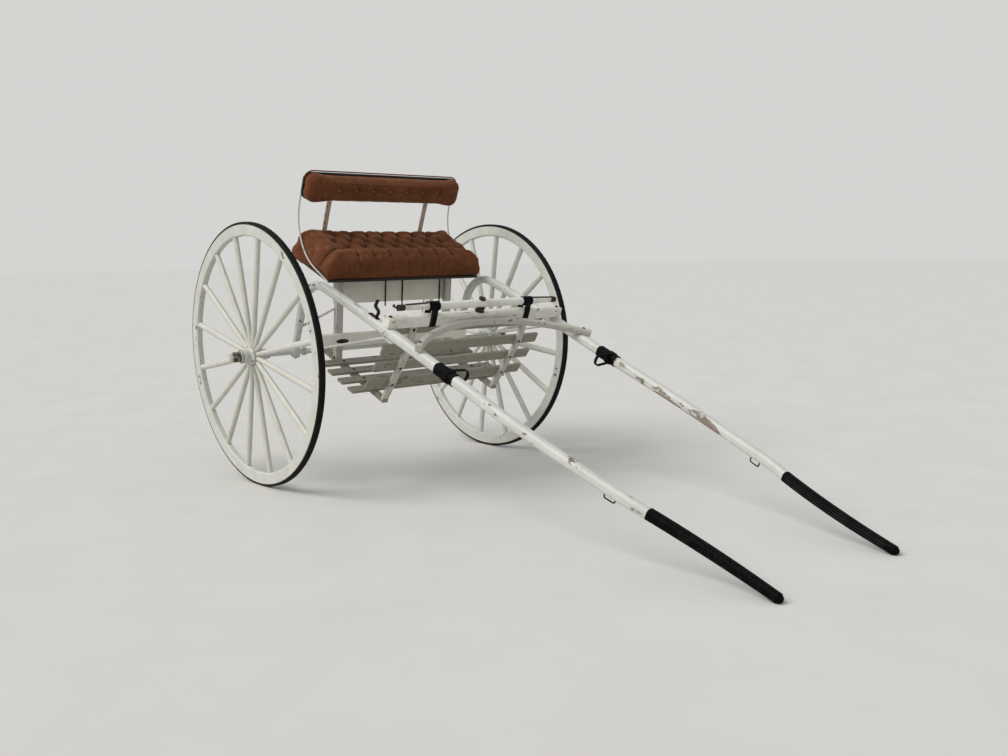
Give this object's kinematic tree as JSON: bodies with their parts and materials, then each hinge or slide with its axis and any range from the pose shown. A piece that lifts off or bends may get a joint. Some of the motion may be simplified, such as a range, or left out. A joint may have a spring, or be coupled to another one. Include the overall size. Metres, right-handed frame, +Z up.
{
  "type": "horse drawn road cart",
  "caption": "Two-wheeled horse-drawn road cart with spoked wooden wheels, long bent shafts, singletree, slatted footrest and a buttoned velvet bench seat, parked on its shaft tips.",
  "frame": {"origin": "on the floor, under the middle of the parked cart's box", "axes": "+X forward to the shaft tips, +Y to the cart's left, +Z up"},
  "size_m": [3.1519, 1.6404, 1.4298],
  "materials": {
    "white_wood": "weathered white paint on wood, chipped to bare grey wood",
    "white_iron": "white painted iron with rust at edges",
    "hub_iron": "white painted casting, rusted at the nose",
    "black_iron": "black iron, worn",
    "tyre_rubber": "dull black solid rubber",
    "black_leather": "black harness leather, creased",
    "black_board": "dark edged board",
    "brown_velvet": "rust-brown velvet, buttoned"
  },
  "bodies": {
    "cart": {"shaft_left": "white_wood", "shaft_right": "white_wood", "crossbar": "white_wood", "bow": "white_wood", "singletree": "white_wood", "dash_braces": "white_wood", "floor_sills": "white_wood", "seat_posts": "white_wood", "seat_riser": "white_wood", "cross_board": "white_wood", "dash_slat_1": "white_wood", "dash_slat_2": "white_wood", "dash_slat_3": "white_wood", "dash_slat_4": "white_wood", "floor_slat_1": "white_wood", "floor_slat_2": "white_wood", "floor_slat_3": "white_wood", "floor_slat_4": "white_wood", "axle": "white_iron", "axle_clips": "white_iron", "shaft_stays": "white_iron", "post_struts": "white_iron", "back_irons": "white_iron", "seat_rails": "white_iron", "axle_nuts": "hub_iron", "singletree_irons": "black_iron", "seat_rods": "black_iron", "shaft_hook": "black_iron", "footman_loops": "black_iron", "shaft_sleeve_left": "black_leather", "shaft_sleeve_right": "black_leather", "shaft_wraps": "black_leather", "tug_loops": "black_leather", "keeper_straps": "black_leather", "seat_board": "black_board", "back_board": "black_board", "seat_cushion": "brown_velvet", "back_cushion": "brown_velvet"},
    "wheel_left": {"tyre_left": "tyre_rubber", "felloe_left": "white_wood", "spokes_left": "white_wood", "hub_left": "hub_iron"},
    "wheel_right": {"tyre_right": "tyre_rubber", "felloe_right": "white_wood", "spokes_right": "white_wood", "hub_right": "hub_iron"}
  },
  "joints": [
    {"name": "wheel_left_spin", "type": "hinge", "parent": "cart", "child": "wheel_left", "pos_m": [-0.97602, 0.7045, 0.60014], "axis": [0, 0.9997, -0.0227], "continuous": true},
    {"name": "wheel_right_spin", "type": "hinge", "parent": "cart", "child": "wheel_right", "pos_m": [-0.97602, -0.7045, 0.60014], "axis": [0, 0.9997, 0.0227], "continuous": true}
  ]
}
